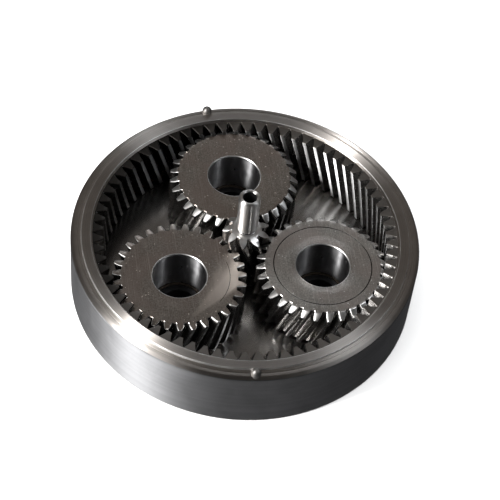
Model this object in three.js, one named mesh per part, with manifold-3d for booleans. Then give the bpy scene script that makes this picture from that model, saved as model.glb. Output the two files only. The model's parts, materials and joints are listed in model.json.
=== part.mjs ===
// Single-stage helical planetary gear set: a fixed ring gear with three planets, a sun pinion on
// the input shaft, and a carrier plate that turns in a liner in the bottom of the ring.
// Units are millimetres. +Z is the shared gear axis, and z = 0 is the face the ring stands on.
import * as THREE from "three";
import { mergeVertices } from "three/addons/utils/BufferGeometryUtils.js";
import Module from "manifold-3d";

const wasm = await Module();
wasm.setup();

// ---------------------------------------------------------------- driving dimensions

// Gear data
const NORMAL_MODULE = 1;
const PRESSURE_ANGLE = THREE.MathUtils.degToRad(20);
const HELIX_ANGLE = THREE.MathUtils.degToRad(18);
const SUN_TEETH = 9;
const PLANET_TEETH = 31;
const RING_TEETH = 72;
const PLANET_COUNT = 3;
const CENTRE_DISTANCE = 21.3;
const SUN_SHIFT = 0.45; // profile shift of the sun; the planets' and ring's follow from it
const ADDENDUM = 0.9;
const DEDENDUM = 1.25;
const RING_DEDENDUM = 1.8; // the ring's tooth spaces run on until they are nearly pointed
const FLANK_RELIEF = 0.075; // taken off each flank, for backlash between the faceted teeth

// Heights
const RING_HEIGHT = 19;
const SHOULDER_HEIGHT = 18.5; // outer part of the rim, a little below the land inside it
const PLANET_TOP = 17;
const PLANET_BOTTOM = 3.9;
const SUN_GEAR_TOP = 21.2;
const SHAFT_TOP = 33.3;
const CARRIER_TOP = 3.2;
const CARRIER_RIM_BOTTOM = 1.4; // underside of the rim, which the clip holds up
const OUTPUT_FACE = 0.3; // the boss inside the clip reaches down to here
const CLEARANCE = 0.1; // axial and radial gap between fitted pieces

// Ring gear
const RING_RADIUS = 45;
const LAND_OUTER_RADIUS = 42.2;
const LAND_INNER_RADIUS = 39.9;
const OUTER_CHAMFER = 0.8;
const COUNTERBORE_RADIUS = 40;
const COUNTERBORE_TOP = 3.4;
const TOOTH_END_DROP_AT_CREST = 1; // how far the ring's tooth ends lie below the land
const TOOTH_END_DROP_AT_ROOT = 0.7;

// Circlip under the carrier's rim
const CLIP_GROOVE_RADIUS = 41.2;
const CLIP_GROOVE_BOTTOM = 0.5;
const CLIP_GROOVE_HEIGHT = 0.8;
const CLIP_WIDTH = 3;
const CLIP_OPENING = THREE.MathUtils.degToRad(9); // half of the gap between the clip's ends
const CLIP_LUG_RADIUS = 1.7;
const CLIP_LUG_HOLE_RADIUS = 0.7;
const CLIP_LUG_SHIFT = 0.7; // from the end of the arc to the middle of the lug, along the arc

// Carrier stage
const LINER_THICKNESS = 1.1;
const OUTPUT_BOSS_RADIUS = 35.6;
const PIN_HEIGHT = 5.6; // top of the stub pins, above the ring's base
const PIN_SHANK_RADIUS = 4.9;
const PIN_JOURNAL_RADIUS = 5.9;
const PIN_BORE_RADIUS = 4.2;
const PIN_FLOOR = 1.8; // metal left under the pin's drilled hole
const PLANET_BORE_RADIUS = 6.9;
const BORE_BEVEL = 0.2;
const PLANET_END_BEVEL = 1.3; // how far a planet tooth's end falls from its root to its crest
const FLUSH_END_BEVEL = 0.15; // the same on the upper ends of the planet that is ground flush
const FLUSH_PLANET = 1; // that planet's index
const WASHER_RADIUS = 10;
const WASHER_THICKNESS = 0.5;
const PILOT_BUSH_RADIUS = 4.1;
const SUN_WASHER_RADIUS = 5.1;
const OUTPUT_HOLE_RADIUS = 1.65; // tapping drill for M4
const OUTPUT_HOLE_CIRCLE = 29;
const OUTPUT_HOLE_ANGLE = THREE.MathUtils.degToRad(13); // each side of a planet's centre line

// Sun shaft
const SHAFT_RADIUS = 2.8;
const SHAFT_NECK_RADIUS = 2.4;
const SHAFT_NECK_HEIGHT = 0.8;
const SHAFT_CENTRE_RADIUS = 1.75;
const SHAFT_CENTRE_DEPTH = 5;
const DRILL_POINT = 1; // depth of the cone that the centre drill leaves
const SHAFT_CHAMFER = 0.4;
const SPIGOT_RADIUS = 2.5;
const SPIGOT_BOTTOM = 0.9;
const SPIGOT_CHAMFER = 0.3;
const SUN_TOP_BEVEL = 1.2;
const SUN_BOTTOM_BEVEL = 0.6;

// Locating dowels in the rim's shoulder
const DOWEL_RADIUS = 1.25;
const DOWEL_CIRCLE = 43.45;
const DOWEL_TOP = 20.4;
const DOWEL_BOTTOM = 14;
const DOWEL_END_GAP = 0.3;
const DOWEL_ANGLES = { rear: THREE.MathUtils.degToRad(96), front: THREE.MathUtils.degToRad(265) };

// Faceting
const RING_SEGMENTS = RING_TEETH;
const BORE_SEGMENTS = 24;
const SMALL_SEGMENTS = 12;
const CLIP_ARC_SEGMENTS = 36;
const DOME_STEPS = 3;
const FLANK_POINTS = 2;
const SUN_FLANK_POINTS = 3;
const RING_SLICES = 1; // flat strips that follow the helix up each flank
const PLANET_SLICES = 2;
const SUN_SLICES = 4;

// Helpers for cutting
const CUT_OVERRUN = 1; // how far a cutting shape runs past the metal
const BLANK_INNER_RADIUS = 30; // inside the ring's crests; the teeth are cut from there outwards
const PLANET_BEVEL_OFFSET = 0.1; // the planets' bevel starts this far outside their roots
const SUN_BEVEL_OFFSET = -0.4; // the sun's starts this far inside its roots

// ---------------------------------------------------------------- gear geometry

const involute = (angle) => Math.tan(angle) - angle;
const TRANSVERSE_MODULE = NORMAL_MODULE / Math.cos(HELIX_ANGLE);
const TRANSVERSE_ANGLE = Math.atan(Math.tan(PRESSURE_ANGLE) / Math.cos(HELIX_ANGLE));

// Profile-shift sum (or difference) that lets two gears mesh at the centre distance.
function shiftForCentreDistance(teeth) {
  const reference = (teeth * TRANSVERSE_MODULE) / 2;
  const working = Math.acos((reference * Math.cos(TRANSVERSE_ANGLE)) / CENTRE_DISTANCE);
  return ((involute(working) - involute(TRANSVERSE_ANGLE)) * teeth) / (2 * Math.tan(PRESSURE_ANGLE));
}

const PLANET_SHIFT = shiftForCentreDistance(SUN_TEETH + PLANET_TEETH) - SUN_SHIFT;
const RING_SHIFT = shiftForCentreDistance(RING_TEETH - PLANET_TEETH) + PLANET_SHIFT;

// A gear's radii. For the ring, the tooth space is an external tooth, so its crest is the root.
function gearData(teeth, shift, crest, root) {
  const reference = (teeth * TRANSVERSE_MODULE) / 2;
  return {
    teeth,
    shift,
    reference,
    base: reference * Math.cos(TRANSVERSE_ANGLE),
    crest: reference + (shift + crest) * NORMAL_MODULE,
    root: reference + (shift - root) * NORMAL_MODULE,
    twist: Math.tan(HELIX_ANGLE) / reference,
  };
}

const sun = gearData(SUN_TEETH, SUN_SHIFT, ADDENDUM, DEDENDUM);
const planet = gearData(PLANET_TEETH, PLANET_SHIFT, ADDENDUM, DEDENDUM);
const ringSpace = gearData(RING_TEETH, RING_SHIFT, RING_DEDENDUM, ADDENDUM);
sun.twist = -sun.twist;

// Half of the angle that a tooth (or a ring's tooth space) fills at a radius.
function halfToothAngle(gear, radius, relief) {
  const pressure = Math.acos(Math.min(1, gear.base / radius));
  const halfAtReference = (Math.PI / 2 + 2 * gear.shift * Math.tan(PRESSURE_ANGLE)) / gear.teeth;
  return halfAtReference + involute(TRANSVERSE_ANGLE) - involute(pressure) - relief / radius;
}

// Transverse outline of a gear, tooth by tooth, with flankPoints points up each flank.
function gearShape(gear, relief, flankPoints, phase) {
  const radii = [];
  for (let i = 0; i < flankPoints; i += 1) {
    radii.push(THREE.MathUtils.lerp(gear.root, gear.crest, i / (flankPoints - 1)));
  }
  const points = [];
  const polar = (radius, angle) =>
    points.push(new THREE.Vector2(radius * Math.cos(angle), radius * Math.sin(angle)));
  for (let tooth = 0; tooth < gear.teeth; tooth += 1) {
    const centre = phase + (2 * Math.PI * tooth) / gear.teeth;
    for (const radius of radii) polar(radius, centre - halfToothAngle(gear, radius, relief));
    for (const radius of [...radii].reverse()) polar(radius, centre + halfToothAngle(gear, radius, relief));
  }
  return new THREE.Shape(points);
}

// ---------------------------------------------------------------- solids

function toSolid(geometry) {
  const source = geometry.clone();
  source.deleteAttribute("normal");
  source.deleteAttribute("uv");
  const merged = mergeVertices(source, 1e-5);
  const vertProperties = Float32Array.from(merged.attributes.position.array);
  const triVerts = Uint32Array.from(merged.index.array);
  return new wasm.Manifold(new wasm.Mesh({ numProp: 3, vertProperties, triVerts }));
}

function toGeometry(solid) {
  const mesh = solid.asOriginal().getMesh();
  const geometry = new THREE.BufferGeometry();
  geometry.setAttribute("position", new THREE.BufferAttribute(mesh.vertProperties, 3));
  geometry.setIndex(new THREE.BufferAttribute(mesh.triVerts, 1));
  return geometry;
}

// Solid of revolution about +Z from [radius, z] pairs; startAngle turns its facets.
function revolved(outline, segments, startAngle = 0) {
  const points = outline.map(([radius, z]) => new THREE.Vector2(radius, z));
  const geometry = new THREE.LatheGeometry(points, segments);
  geometry.rotateX(Math.PI / 2);
  geometry.rotateZ(startAngle);
  return geometry;
}

// Plain ring between two radii and two heights.
function tube(inner, outer, bottom, top, segments) {
  const outline = [[inner, bottom], [outer, bottom], [outer, top], [inner, top], [inner, bottom]];
  return revolved(outline, segments);
}

// Solid cylinder on an axis parallel to Z.
function rod(radius, bottom, top, segments, x = 0, y = 0) {
  const outline = [[0, bottom], [radius, bottom], [radius, top], [0, top]];
  return revolved(outline, segments).translate(x, y, 0);
}

// Helical prism: an outline extruded from bottom to top, turned about Z in proportion to its
// height above the teeth's middle plane.
const MESH_PLANE = (PLANET_TOP + PLANET_BOTTOM) / 2;

function helicalPrism(shape, bottom, top, slices, twist) {
  const geometry = new THREE.ExtrudeGeometry(shape, {
    depth: top - bottom,
    steps: slices,
    bevelEnabled: false,
  });
  geometry.translate(0, 0, bottom);
  const position = geometry.attributes.position;
  const axis = new THREE.Vector3(0, 0, 1);
  const point = new THREE.Vector3();
  for (let i = 0; i < position.count; i += 1) {
    point.fromBufferAttribute(position, i);
    point.applyAxisAngle(axis, twist * (point.z - MESH_PLANE));
    position.setXYZ(i, point.x, point.y, point.z);
  }
  return geometry;
}

// Tool that bevels the ends of a gear's teeth: one flat facet for each tooth. The bevel falls by
// `drop` between the radii `from` and `to`; `end` is +1 for the top end and -1 for the bottom.
function bevelTool(gear, phase, from, to, endHeight, drop, end) {
  const reach = 1 / Math.cos(Math.PI / gear.teeth);
  const farHeight = MESH_PLANE - end * RING_HEIGHT;
  const slope = drop / (to - from);
  const outer = to + CUT_OVERRUN;
  const outline = [
    [0, farHeight],
    [outer * reach, farHeight],
    [outer * reach, endHeight - end * slope * (outer - from)],
    [from * reach, endHeight],
    [0, endHeight],
  ];
  if (end < 0) outline.reverse();
  const toothPhase = phase + gear.twist * (endHeight - MESH_PLANE);
  return revolved(outline, gear.teeth, toothPhase + Math.PI / 2 + Math.PI / gear.teeth);
}

// ---------------------------------------------------------------- materials

const finish = (color, roughness, metalness = 1) =>
  new THREE.MeshStandardMaterial({ color, roughness, metalness });

const materials = {
  ring: finish(0x6b6b6c, 0.38),
  planet: finish(0x6e6862, 0.42),
  sun: finish(0x8d8d8f, 0.25),
  carrier: finish(0x5a5a5b, 0.45),
  pin: finish(0x3a3a3c, 0.4),
  bush: finish(0x5d554b, 0.5),
  washer: finish(0x77736c, 0.4),
  liner: finish(0x6a5c45, 0.5),
  clip: finish(0x2f2f31, 0.45),
  dowel: finish(0x8c8c8e, 0.25),
};

function mesh(name, geometry, material) {
  const piece = new THREE.Mesh(geometry, material);
  piece.name = name;
  return piece;
}

// ---------------------------------------------------------------- ring gear and what it holds

// The first planet stands on +Y. The ring has a tooth space there, the planet a tooth that
// points outwards, and the sun a tooth that points at the planet.
const FIRST_PLANET_ANGLE = Math.PI / 2;

function ringGear() {
  const blank = [
    [BLANK_INNER_RADIUS, 0],
    [RING_RADIUS - OUTER_CHAMFER / 2, 0],
    [RING_RADIUS, OUTER_CHAMFER / 2],
    [RING_RADIUS, SHOULDER_HEIGHT - OUTER_CHAMFER],
    [RING_RADIUS - OUTER_CHAMFER, SHOULDER_HEIGHT],
    [LAND_OUTER_RADIUS, SHOULDER_HEIGHT],
    [LAND_OUTER_RADIUS, RING_HEIGHT],
    [BLANK_INNER_RADIUS, RING_HEIGHT],
    [BLANK_INNER_RADIUS, 0],
  ];
  const space = gearShape(ringSpace, -FLANK_RELIEF, FLANK_POINTS, FIRST_PLANET_ANGLE);
  const toothBottom = COUNTERBORE_TOP - CLEARANCE;
  const toothTop = RING_HEIGHT + CLEARANCE;
  const teeth = helicalPrism(space, toothBottom, toothTop, RING_SLICES, ringSpace.twist);
  const endHeight = RING_HEIGHT - TOOTH_END_DROP_AT_CREST;
  const toothEnd = [
    [0, endHeight],
    [ringSpace.root, endHeight],
    [ringSpace.crest, RING_HEIGHT - TOOTH_END_DROP_AT_ROOT],
    [LAND_INNER_RADIUS, RING_HEIGHT],
    [LAND_INNER_RADIUS, RING_HEIGHT + CUT_OVERRUN],
    [0, RING_HEIGHT + CUT_OVERRUN],
  ];
  const endPhase = FIRST_PLANET_ANGLE + ringSpace.twist * (endHeight - MESH_PLANE);
  const grooveTop = CLIP_GROOVE_BOTTOM + CLIP_GROOVE_HEIGHT;
  const grooveInner = COUNTERBORE_RADIUS - CUT_OVERRUN;
  const groove = tube(grooveInner, CLIP_GROOVE_RADIUS, CLIP_GROOVE_BOTTOM, grooveTop, RING_SEGMENTS);
  let body = toSolid(revolved(blank, RING_SEGMENTS))
    .subtract(toSolid(teeth))
    .subtract(toSolid(revolved(toothEnd, RING_TEETH, endPhase + Math.PI / 2)))
    .subtract(toSolid(rod(COUNTERBORE_RADIUS, -CUT_OVERRUN, COUNTERBORE_TOP, RING_SEGMENTS)))
    .subtract(toSolid(groove));
  for (const angle of Object.values(DOWEL_ANGLES)) {
    const x = DOWEL_CIRCLE * Math.cos(angle);
    const y = DOWEL_CIRCLE * Math.sin(angle);
    const bottom = DOWEL_BOTTOM - DOWEL_END_GAP;
    const top = RING_HEIGHT + CUT_OVERRUN;
    body = body.subtract(toSolid(rod(DOWEL_RADIUS + CLEARANCE, bottom, top, SMALL_SEGMENTS, x, y)));
  }
  return mesh("ring_gear", toGeometry(body), materials.ring);
}

// Dowel with a domed head, standing in a blind hole in the rim's shoulder.
function dowel(name, angle) {
  const outline = [[0, DOWEL_BOTTOM], [DOWEL_RADIUS, DOWEL_BOTTOM]];
  for (let i = 0; i <= DOME_STEPS; i += 1) {
    const tilt = (Math.PI / 2) * (i / DOME_STEPS);
    const z = DOWEL_TOP - DOWEL_RADIUS * (1 - Math.sin(tilt));
    outline.push([i === DOME_STEPS ? 0 : DOWEL_RADIUS * Math.cos(tilt), z]);
  }
  const piece = mesh(name, revolved(outline, SMALL_SEGMENTS), materials.dowel);
  piece.position.set(DOWEL_CIRCLE * Math.cos(angle), DOWEL_CIRCLE * Math.sin(angle), 0);
  return piece;
}

const LINER_OUTER = COUNTERBORE_RADIUS - CLEARANCE;
const LINER_INNER = LINER_OUTER - LINER_THICKNESS;
const CARRIER_RADIUS = LINER_INNER - 1.5 * CLEARANCE;

// Split liner band that the carrier's rim turns in.
function carrierLiner() {
  const band = tube(LINER_INNER, LINER_OUTER, CARRIER_RIM_BOTTOM, CARRIER_TOP, RING_SEGMENTS);
  return mesh("carrier_liner", band, materials.liner);
}

// Internal circlip: an open ring with a drilled lug at each end.
function retainingRing() {
  const outer = CLIP_GROOVE_RADIUS - 2 * CLEARANCE;
  const inner = outer - CLIP_WIDTH;
  const thickness = CLIP_GROOVE_HEIGHT - 2 * CLEARANCE;
  const end = 2 * Math.PI - CLIP_OPENING;
  const shape = new THREE.Shape();
  shape.absarc(0, 0, outer, CLIP_OPENING, end, false);
  shape.absarc(0, 0, inner, end, CLIP_OPENING, true);
  const options = { depth: thickness, bevelEnabled: false, curveSegments: CLIP_ARC_SEGMENTS };
  let body = toSolid(new THREE.ExtrudeGeometry(shape, options));
  for (const side of [-1, 1]) {
    const x = inner * Math.cos(CLIP_OPENING);
    const y = side * (inner * Math.sin(CLIP_OPENING) + CLIP_LUG_SHIFT);
    const lug = rod(CLIP_LUG_RADIUS, 0, thickness, SMALL_SEGMENTS, x, y);
    const hole = rod(CLIP_LUG_HOLE_RADIUS, -CUT_OVERRUN, thickness + CUT_OVERRUN, SMALL_SEGMENTS, x, y);
    body = body.add(toSolid(lug)).subtract(toSolid(hole));
  }
  const piece = mesh("carrier_retaining_ring", toGeometry(body), materials.clip);
  piece.position.z = CLIP_GROOVE_BOTTOM + CLEARANCE;
  return piece;
}

// ---------------------------------------------------------------- carrier and planets

const planetAngle = (index) => FIRST_PLANET_ANGLE + (2 * Math.PI * index) / PLANET_COUNT;

function planetCentre(index) {
  const angle = planetAngle(index);
  return [CENTRE_DISTANCE * Math.cos(angle), CENTRE_DISTANCE * Math.sin(angle)];
}

// Round plate whose middle stands out below as the output boss, through the clip.
function carrierPlate() {
  const hub = PILOT_BUSH_RADIUS + CLEARANCE;
  const outline = [
    [hub, OUTPUT_FACE],
    [OUTPUT_BOSS_RADIUS, OUTPUT_FACE],
    [OUTPUT_BOSS_RADIUS, CARRIER_RIM_BOTTOM],
    [CARRIER_RADIUS, CARRIER_RIM_BOTTOM],
    [CARRIER_RADIUS, CARRIER_TOP],
    [hub, CARRIER_TOP],
    [hub, OUTPUT_FACE],
  ];
  const through = (radius, segments, x, y) =>
    toSolid(rod(radius, OUTPUT_FACE - CUT_OVERRUN, CARRIER_TOP + CUT_OVERRUN, segments, x, y));
  let body = toSolid(revolved(outline, RING_SEGMENTS));
  for (let index = 0; index < PLANET_COUNT; index += 1) {
    body = body.subtract(through(PIN_SHANK_RADIUS + CLEARANCE, BORE_SEGMENTS, ...planetCentre(index)));
    for (const side of [-1, 1]) {
      const angle = planetAngle(index) + side * OUTPUT_HOLE_ANGLE;
      const x = OUTPUT_HOLE_CIRCLE * Math.cos(angle);
      const y = OUTPUT_HOLE_CIRCLE * Math.sin(angle);
      body = body.subtract(through(OUTPUT_HOLE_RADIUS, SMALL_SEGMENTS, x, y));
    }
  }
  return mesh("carrier_plate", toGeometry(body), materials.carrier);
}

// Stub pin: a shank in the carrier and a wider journal inside the planet's bore, drilled out
// from above.
function planetPin() {
  const bottom = OUTPUT_FACE + CLEARANCE;
  const seat = CARRIER_TOP + CLEARANCE;
  return revolved([
    [0, bottom],
    [PIN_SHANK_RADIUS, bottom],
    [PIN_SHANK_RADIUS, seat],
    [PIN_JOURNAL_RADIUS, seat],
    [PIN_JOURNAL_RADIUS, PIN_HEIGHT],
    [PIN_BORE_RADIUS, PIN_HEIGHT],
    [PIN_BORE_RADIUS, bottom + PIN_FLOOR],
    [0, bottom + PIN_FLOOR],
  ], BORE_SEGMENTS);
}

// Planet gear about its own axis, with a chamfered bore and bevelled tooth ends.
function planetGear(index) {
  const turned = planetAngle(index) - FIRST_PLANET_ANGLE;
  const phase = planetAngle(index) - (turned * RING_TEETH) / PLANET_TEETH;
  const shape = gearShape(planet, FLANK_RELIEF, FLANK_POINTS, phase);
  const mouth = PLANET_BORE_RADIUS + BORE_BEVEL + CUT_OVERRUN;
  const bore = [
    [0, PLANET_BOTTOM - CUT_OVERRUN],
    [mouth, PLANET_BOTTOM - CUT_OVERRUN],
    [PLANET_BORE_RADIUS, PLANET_BOTTOM + BORE_BEVEL],
    [PLANET_BORE_RADIUS, PLANET_TOP - BORE_BEVEL],
    [mouth, PLANET_TOP + CUT_OVERRUN],
    [0, PLANET_TOP + CUT_OVERRUN],
  ];
  const bevelFrom = planet.root + PLANET_BEVEL_OFFSET;
  const upperDrop = index === FLUSH_PLANET ? FLUSH_END_BEVEL : PLANET_END_BEVEL;
  const bevel = (height, drop, end) =>
    toSolid(bevelTool(planet, phase, bevelFrom, planet.crest, height, drop, end));
  const body = toSolid(helicalPrism(shape, PLANET_BOTTOM, PLANET_TOP, PLANET_SLICES, planet.twist))
    .intersect(bevel(PLANET_TOP, upperDrop, 1))
    .intersect(bevel(PLANET_BOTTOM, PLANET_END_BEVEL, -1))
    .subtract(toSolid(revolved(bore, BORE_SEGMENTS)));
  return toGeometry(body);
}

// Everything that sits on one planet axis, in a group that is placed on that axis.
function planetStation(index) {
  const station = new THREE.Group();
  const number = index + 1;
  const washerBottom = CARRIER_TOP + CLEARANCE;
  const bushInner = PIN_JOURNAL_RADIUS + CLEARANCE;
  const bushOuter = PLANET_BORE_RADIUS - CLEARANCE;
  const bush = tube(bushInner, bushOuter, PLANET_BOTTOM + CLEARANCE, PIN_HEIGHT - CLEARANCE, BORE_SEGMENTS);
  const washerTop = washerBottom + WASHER_THICKNESS;
  const washer = tube(bushInner, WASHER_RADIUS, washerBottom, washerTop, BORE_SEGMENTS);
  station.add(
    mesh(`planet_gear_${number}`, planetGear(index), materials.planet),
    mesh(`planet_pin_${number}`, planetPin(), materials.pin),
    mesh(`planet_bush_${number}`, bush, materials.bush),
    mesh(`thrust_washer_${number}`, washer, materials.washer),
  );
  station.position.set(...planetCentre(index), 0);
  return station;
}

// ---------------------------------------------------------------- sun pinion and input shaft

function sunPinion() {
  const shape = gearShape(sun, FLANK_RELIEF, SUN_FLANK_POINTS, FIRST_PLANET_ANGLE);
  const shaft = [
    [0, SPIGOT_BOTTOM],
    [SPIGOT_RADIUS - SPIGOT_CHAMFER, SPIGOT_BOTTOM],
    [SPIGOT_RADIUS, SPIGOT_BOTTOM + SPIGOT_CHAMFER],
    [SPIGOT_RADIUS, PLANET_BOTTOM + CUT_OVERRUN],
    [SHAFT_NECK_RADIUS, PLANET_BOTTOM + CUT_OVERRUN],
    [SHAFT_NECK_RADIUS, SUN_GEAR_TOP + SHAFT_NECK_HEIGHT],
    [SHAFT_RADIUS, SUN_GEAR_TOP + SHAFT_NECK_HEIGHT],
    [SHAFT_RADIUS, SHAFT_TOP - SHAFT_CHAMFER],
    [SHAFT_RADIUS - SHAFT_CHAMFER, SHAFT_TOP],
    [SHAFT_CENTRE_RADIUS, SHAFT_TOP],
    [SHAFT_CENTRE_RADIUS, SHAFT_TOP - SHAFT_CENTRE_DEPTH],
    [0, SHAFT_TOP - SHAFT_CENTRE_DEPTH - DRILL_POINT],
  ];
  const bevelFrom = sun.root + SUN_BEVEL_OFFSET;
  const bevel = (height, drop, end) =>
    toSolid(bevelTool(sun, FIRST_PLANET_ANGLE, bevelFrom, sun.crest, height, drop, end));
  const body = toSolid(helicalPrism(shape, PLANET_BOTTOM, SUN_GEAR_TOP, SUN_SLICES, sun.twist))
    .intersect(bevel(SUN_GEAR_TOP, SUN_TOP_BEVEL, 1))
    .intersect(bevel(PLANET_BOTTOM, SUN_BOTTOM_BEVEL, -1))
    .add(toSolid(revolved(shaft, BORE_SEGMENTS)));
  return mesh("sun_pinion_shaft", toGeometry(body), materials.sun);
}

// Bush and washer that carry the shaft's lower end in the carrier.
function sunSupports() {
  const washerBottom = CARRIER_TOP + CLEARANCE;
  const washerTop = washerBottom + WASHER_THICKNESS;
  const inner = SPIGOT_RADIUS + CLEARANCE;
  const bush = tube(inner, PILOT_BUSH_RADIUS, OUTPUT_FACE + CLEARANCE, CARRIER_TOP, BORE_SEGMENTS);
  const washer = tube(inner, SUN_WASHER_RADIUS, washerBottom, washerTop, BORE_SEGMENTS);
  return [
    mesh("sun_pilot_bush", bush, materials.bush),
    mesh("sun_thrust_washer", washer, materials.washer),
  ];
}

// ---------------------------------------------------------------- assembly

const gearbox = new THREE.Group();
gearbox.add(ringGear(), carrierLiner(), retainingRing());
for (const [side, angle] of Object.entries(DOWEL_ANGLES)) gearbox.add(dowel(`rim_dowel_${side}`, angle));
gearbox.add(carrierPlate());
for (let index = 0; index < PLANET_COUNT; index += 1) gearbox.add(planetStation(index));
gearbox.add(sunPinion(), ...sunSupports());

export default gearbox;
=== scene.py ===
"""Planetary gearbox: fine gears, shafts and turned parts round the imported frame, in metres."""

import json
from math import acos, atan, atan2, cos, pi, radians, sin, sqrt, tan

import bmesh
import bpy
from mathutils import Euler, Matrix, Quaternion, Vector


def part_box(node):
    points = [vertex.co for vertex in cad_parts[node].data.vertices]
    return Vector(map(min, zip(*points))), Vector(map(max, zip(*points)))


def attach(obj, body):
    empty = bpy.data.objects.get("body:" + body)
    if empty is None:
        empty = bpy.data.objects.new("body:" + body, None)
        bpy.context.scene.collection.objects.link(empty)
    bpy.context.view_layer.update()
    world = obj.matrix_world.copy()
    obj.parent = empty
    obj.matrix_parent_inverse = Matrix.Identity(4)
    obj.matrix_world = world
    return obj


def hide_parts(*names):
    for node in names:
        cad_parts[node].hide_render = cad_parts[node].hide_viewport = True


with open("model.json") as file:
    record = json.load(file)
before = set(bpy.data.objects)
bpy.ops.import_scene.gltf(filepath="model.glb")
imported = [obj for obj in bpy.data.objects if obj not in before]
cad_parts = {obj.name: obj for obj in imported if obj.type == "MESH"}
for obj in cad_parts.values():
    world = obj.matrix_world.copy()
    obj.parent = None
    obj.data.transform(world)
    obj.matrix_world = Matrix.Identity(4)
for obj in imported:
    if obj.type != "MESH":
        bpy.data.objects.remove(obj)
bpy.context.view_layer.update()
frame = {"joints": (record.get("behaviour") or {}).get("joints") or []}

MM = 0.001
TAU = 2 * pi

# -------------------- gear data

MODULE = 1.0 * MM
PRESSURE = radians(20)
HELIX = radians(18)
SUN_TEETH = 9
PLANET_TEETH = 31
RING_TEETH = 72
PLANETS = (1, 2, 3)
SUN_SHIFT = 0.45
ADDENDUM = 0.9
DEDENDUM = 1.25
RING_DEDENDUM = 1.8
BACKLASH = 0.03 * MM  # taken off each flank
FIRST_PLANET_ANGLE = pi / 2


def joint_position(name):
    return Vector(next(joint["pos_m"] for joint in frame["joints"] if joint["name"] == name))


PLANET_AXES = {k: joint_position(f"planet_{k}_spin").xy for k in PLANETS}
CENTRE_DISTANCE = PLANET_AXES[1].length

# -------------------- heights and radii

RING_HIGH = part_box("ring_gear")[1]
PLANET_LOW, PLANET_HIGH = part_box("planet_gear_1")
SUN_LOW, SUN_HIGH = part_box("sun_pinion_shaft")
CARRIER_LOW, CARRIER_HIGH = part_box("carrier_plate")
LINER_LOW, LINER_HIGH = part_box("carrier_liner")
CLIP_LOW, CLIP_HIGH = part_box("carrier_retaining_ring")
PIN_LOW, PIN_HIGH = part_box("planet_pin_1")
BUSH_LOW, BUSH_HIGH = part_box("planet_bush_1")
WASHER_LOW, WASHER_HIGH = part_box("thrust_washer_1")
PILOT_LOW, PILOT_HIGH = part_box("sun_pilot_bush")
SUN_WASHER_LOW, SUN_WASHER_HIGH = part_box("sun_thrust_washer")

RING_RADIUS = RING_HIGH.x
RING_HEIGHT = RING_HIGH.z
SHOULDER_HEIGHT = RING_HEIGHT - 0.5 * MM
LAND_OUTER_RADIUS = 42.2 * MM
LAND_INNER_RADIUS = 39.9 * MM
COUNTERBORE_RADIUS = 40.0 * MM
COUNTERBORE_TOP = 3.4 * MM
CLIP_GROOVE_RADIUS = 41.2 * MM
CARRIER_RIM_BOTTOM = 1.4 * MM
CARRIER_BEVEL = 0.12 * MM
OUTPUT_BOSS_RADIUS = 35.6 * MM
PLANET_TOP = PLANET_HIGH.z
PLANET_BOTTOM = PLANET_LOW.z
MESH_PLANE = (PLANET_TOP + PLANET_BOTTOM) / 2
PLANET_BORE = 6.9 * MM
SUN_GEAR_TOP = 21.2 * MM
SHAFT_RADIUS = 2.8 * MM
SHAFT_NECK_RADIUS = 2.4 * MM
SHAFT_NECK_HEIGHT = 0.8 * MM
SHAFT_CENTRE_RADIUS = 1.75 * MM
SHAFT_CENTRE_DEPTH = 5 * MM
SPIGOT_RADIUS = 2.5 * MM
PIN_JOURNAL_RADIUS = 5.9 * MM
PIN_SHANK_RADIUS = 4.9 * MM
PIN_BORE_RADIUS = 4.2 * MM
PIN_FLOOR = 1.8 * MM
PIN_CONE_DEPTH = 0.6 * MM  # the drill's cone under that floor
LINER_THICKNESS = 1.1 * MM
DOME_STEPS = 12
OUTPUT_HOLE_RADIUS = 1.65 * MM
OUTPUT_HOLE_CIRCLE = 29 * MM
OUTPUT_HOLE_ANGLE = radians(13)
RUNNING_GAP = 0.1 * MM

ROUND_SEGMENTS = 288
SMALL_SEGMENTS = 96
CORNER_STEPS = 4  # facets in a rounded corner
SHARP_CORNER = radians(40)  # an edge that turns more than this shades as a corner
WELD_DISTANCE = 1e-7  # points closer than this become one
CURVE_WELD_DISTANCE = 1e-6


# -------------------- mesh building


def polar(radius, angle, centre=(0, 0)):
    return (centre[0] + radius * cos(angle), centre[1] + radius * sin(angle))


def spread(count):
    return [TAU * i / count for i in range(count)]


def linked(name, data):
    made = bpy.data.objects.new(name, data)
    bpy.context.scene.collection.objects.link(made)
    return made


def welded(mesh, distance=WELD_DISTANCE):
    """Hands a mesh over to a bmesh with its coinciding points joined."""
    work = bmesh.new()
    work.from_mesh(mesh)
    bpy.data.meshes.remove(mesh)
    bmesh.ops.remove_doubles(work, verts=work.verts, dist=distance)
    return work


def smooth_piece(name, work):
    """Turns a finished bmesh into a smooth-shaded object with its corners kept sharp."""
    bmesh.ops.recalc_face_normals(work, faces=work.faces)
    mesh = bpy.data.meshes.new(name)
    work.to_mesh(mesh)
    work.free()
    for polygon in mesh.polygons:
        polygon.use_smooth = True
    mesh.set_sharp_from_angle(angle=SHARP_CORNER)
    made = linked(name, mesh)
    made.modifiers.new("Even shading", "WEIGHTED_NORMAL").keep_sharp = True
    return made


def stand_for(made, node, body):
    """Lets a fine piece take the place of a node of the frame."""
    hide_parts(node)
    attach(made, body)
    return made


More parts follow.
